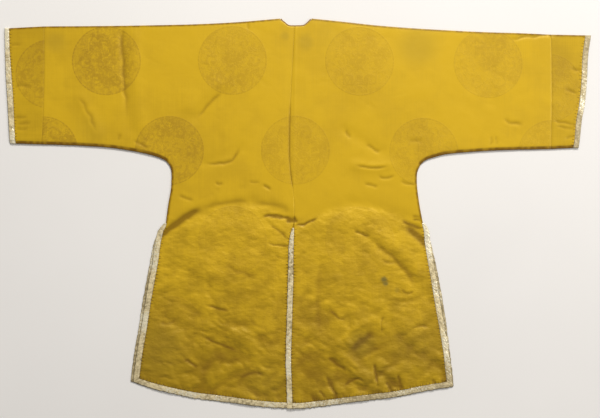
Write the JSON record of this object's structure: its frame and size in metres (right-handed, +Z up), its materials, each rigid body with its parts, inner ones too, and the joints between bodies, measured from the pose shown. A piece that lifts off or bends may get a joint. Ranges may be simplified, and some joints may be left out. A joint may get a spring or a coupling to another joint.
{
  "type": "changshan robe",
  "caption": "Wide-sleeved silk robe laid flat with its back up, vented at the sides and centre back, with separate cuff bands and metallic ribbon along cuffs, vents and hems.",
  "frame": {"origin": "on the floor at the centre of the laid robe's bounding box", "axes": "+X along the sleeves to the right as seen from above, +Y towards the neck, +Z up, out of the robe's back"},
  "size_m": [1.642, 1.0945, 0.0084],
  "materials": {
    "yellow_satin": "golden yellow silk satin with a tonal damask of roundels and a soft sheen",
    "metal_ribbon": "narrow woven ribbon of pale gold and silver metal thread, glinting"
  },
  "bodies": {
    "root": {"left_half": "yellow_satin", "right_half": "yellow_satin", "left_cuff_band": "yellow_satin", "right_cuff_band": "yellow_satin", "left_cuff_trim": "metal_ribbon", "right_cuff_trim": "metal_ribbon", "back_left_side_trim": "metal_ribbon", "back_left_hem_trim": "metal_ribbon", "back_left_vent_trim": "metal_ribbon", "back_right_side_trim": "metal_ribbon", "back_right_hem_trim": "metal_ribbon", "back_right_vent_trim": "metal_ribbon", "front_left_side_trim": "metal_ribbon", "front_left_hem_trim": "metal_ribbon", "front_right_side_trim": "metal_ribbon", "front_right_hem_trim": "metal_ribbon", "back_neck_binding": "yellow_satin", "front_left_neck_binding": "yellow_satin", "front_right_neck_binding": "yellow_satin"}
  },
  "joints": []
}
